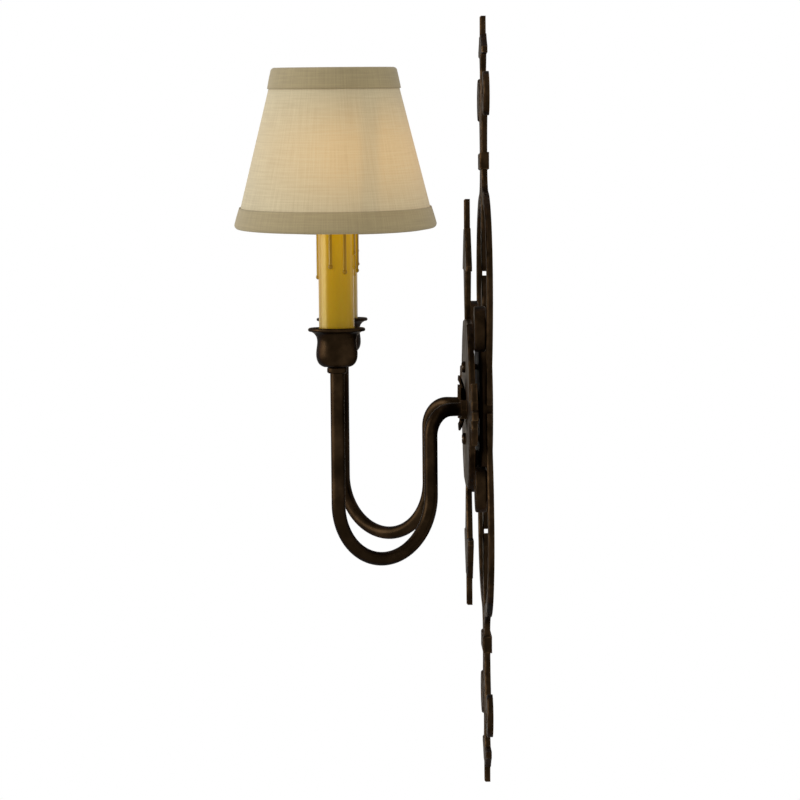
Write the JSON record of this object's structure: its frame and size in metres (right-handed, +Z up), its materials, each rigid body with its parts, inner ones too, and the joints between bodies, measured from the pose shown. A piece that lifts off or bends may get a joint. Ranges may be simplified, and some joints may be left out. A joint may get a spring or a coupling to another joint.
{
  "type": "candle wall light",
  "caption": "Wrought wall light with scrolled back ornament, cross-shaped front plate, swan-neck arms, dripped candle sleeves and clip-on linen shades.",
  "frame": {"origin": "centre of the wall strap's two box-screw slots, on the wall plane", "axes": "+Z up, +Y into the wall, +X to the right as seen from the room"},
  "size_m": [0.3186, 0.1766, 0.555],
  "materials": {
    "bronzed_iron": "dark oil-rubbed bronze, satin",
    "zinc_steel": "zinc plated",
    "brass": "plain brass",
    "phenolic": "moulded, matte",
    "wire_insulation": "insulated lead",
    "amber_resin": "waxy amber resin",
    "bulb_glass": "clear",
    "filament_wire": "bare wire",
    "linen": "natural linen, slubbed weave",
    "linen_tape": "folded linen tape"
  },
  "bodies": {
    "fixture": {"wall_strap": "zinc_steel", "ground_screw": "zinc_steel", "wall_pan": "bronzed_iron", "mounting_screws": "bronzed_iron", "upper_left_scroll": "bronzed_iron", "upper_right_scroll": "bronzed_iron", "lower_left_scroll": "bronzed_iron", "lower_right_scroll": "bronzed_iron", "top_spear": "bronzed_iron", "bottom_spear": "bronzed_iron", "top_collar": "bronzed_iron", "bottom_collar": "bronzed_iron", "upper_leaf": "bronzed_iron", "lower_leaf": "bronzed_iron", "spacer_rings": "bronzed_iron", "front_cross": "bronzed_iron", "rosette": "bronzed_iron", "rosette_screw": "bronzed_iron", "arm_nuts": "bronzed_iron", "left_arm": "bronzed_iron", "left_cup_collar": "bronzed_iron", "left_candle_cup": "bronzed_iron", "left_cup_nut": "zinc_steel", "left_socket_bracket": "zinc_steel", "left_lamp_socket": "phenolic", "left_socket_shell": "brass", "left_lead_wires": "wire_insulation", "right_arm": "bronzed_iron", "right_cup_collar": "bronzed_iron", "right_candle_cup": "bronzed_iron", "right_cup_nut": "zinc_steel", "right_socket_bracket": "zinc_steel", "right_lamp_socket": "phenolic", "right_socket_shell": "brass", "right_lead_wires": "wire_insulation"},
    "left_sleeve": {"left_candle_sleeve": "amber_resin"},
    "left_bulb": {"left_bulb_base": "brass", "left_bulb_glass": "bulb_glass", "left_bulb_filament": "filament_wire"},
    "left_shade": {"left_shade_frame": "brass", "left_shade_bottom_ring": "brass", "left_shade_cover": "linen", "left_shade_top_trim": "linen_tape", "left_shade_bottom_trim": "linen_tape"},
    "right_sleeve": {"right_candle_sleeve": "amber_resin"},
    "right_bulb": {"right_bulb_base": "brass", "right_bulb_glass": "bulb_glass", "right_bulb_filament": "filament_wire"},
    "right_shade": {"right_shade_frame": "brass", "right_shade_bottom_ring": "brass", "right_shade_cover": "linen", "right_shade_top_trim": "linen_tape", "right_shade_bottom_trim": "linen_tape"}
  },
  "joints": [
    {"name": "left_bulb_turn", "type": "hinge", "parent": "fixture", "child": "left_bulb", "pos_m": [-0.09368, -0.10792, 0.12], "axis": [0, 0, 1], "continuous": true},
    {"name": "left_shade_tilt", "type": "hinge", "parent": "left_bulb", "child": "left_shade", "pos_m": [-0.09368, -0.10792, 0.168], "axis": [0, -1, 0], "range_deg": [-12, 6]},
    {"name": "left_sleeve_lift", "type": "slide", "parent": "fixture", "child": "left_sleeve", "axis": [0, 0, 1], "range_m": [0, 0.008]},
    {"name": "right_bulb_turn", "type": "hinge", "parent": "fixture", "child": "right_bulb", "pos_m": [0.09368, -0.10792, 0.12], "axis": [0, 0, 1], "continuous": true},
    {"name": "right_shade_tilt", "type": "hinge", "parent": "right_bulb", "child": "right_shade", "pos_m": [0.09368, -0.10792, 0.168], "axis": [0, 1, 0], "range_deg": [-12, 6]},
    {"name": "right_sleeve_lift", "type": "slide", "parent": "fixture", "child": "right_sleeve", "axis": [0, 0, 1], "range_m": [0, 0.008]}
  ]
}
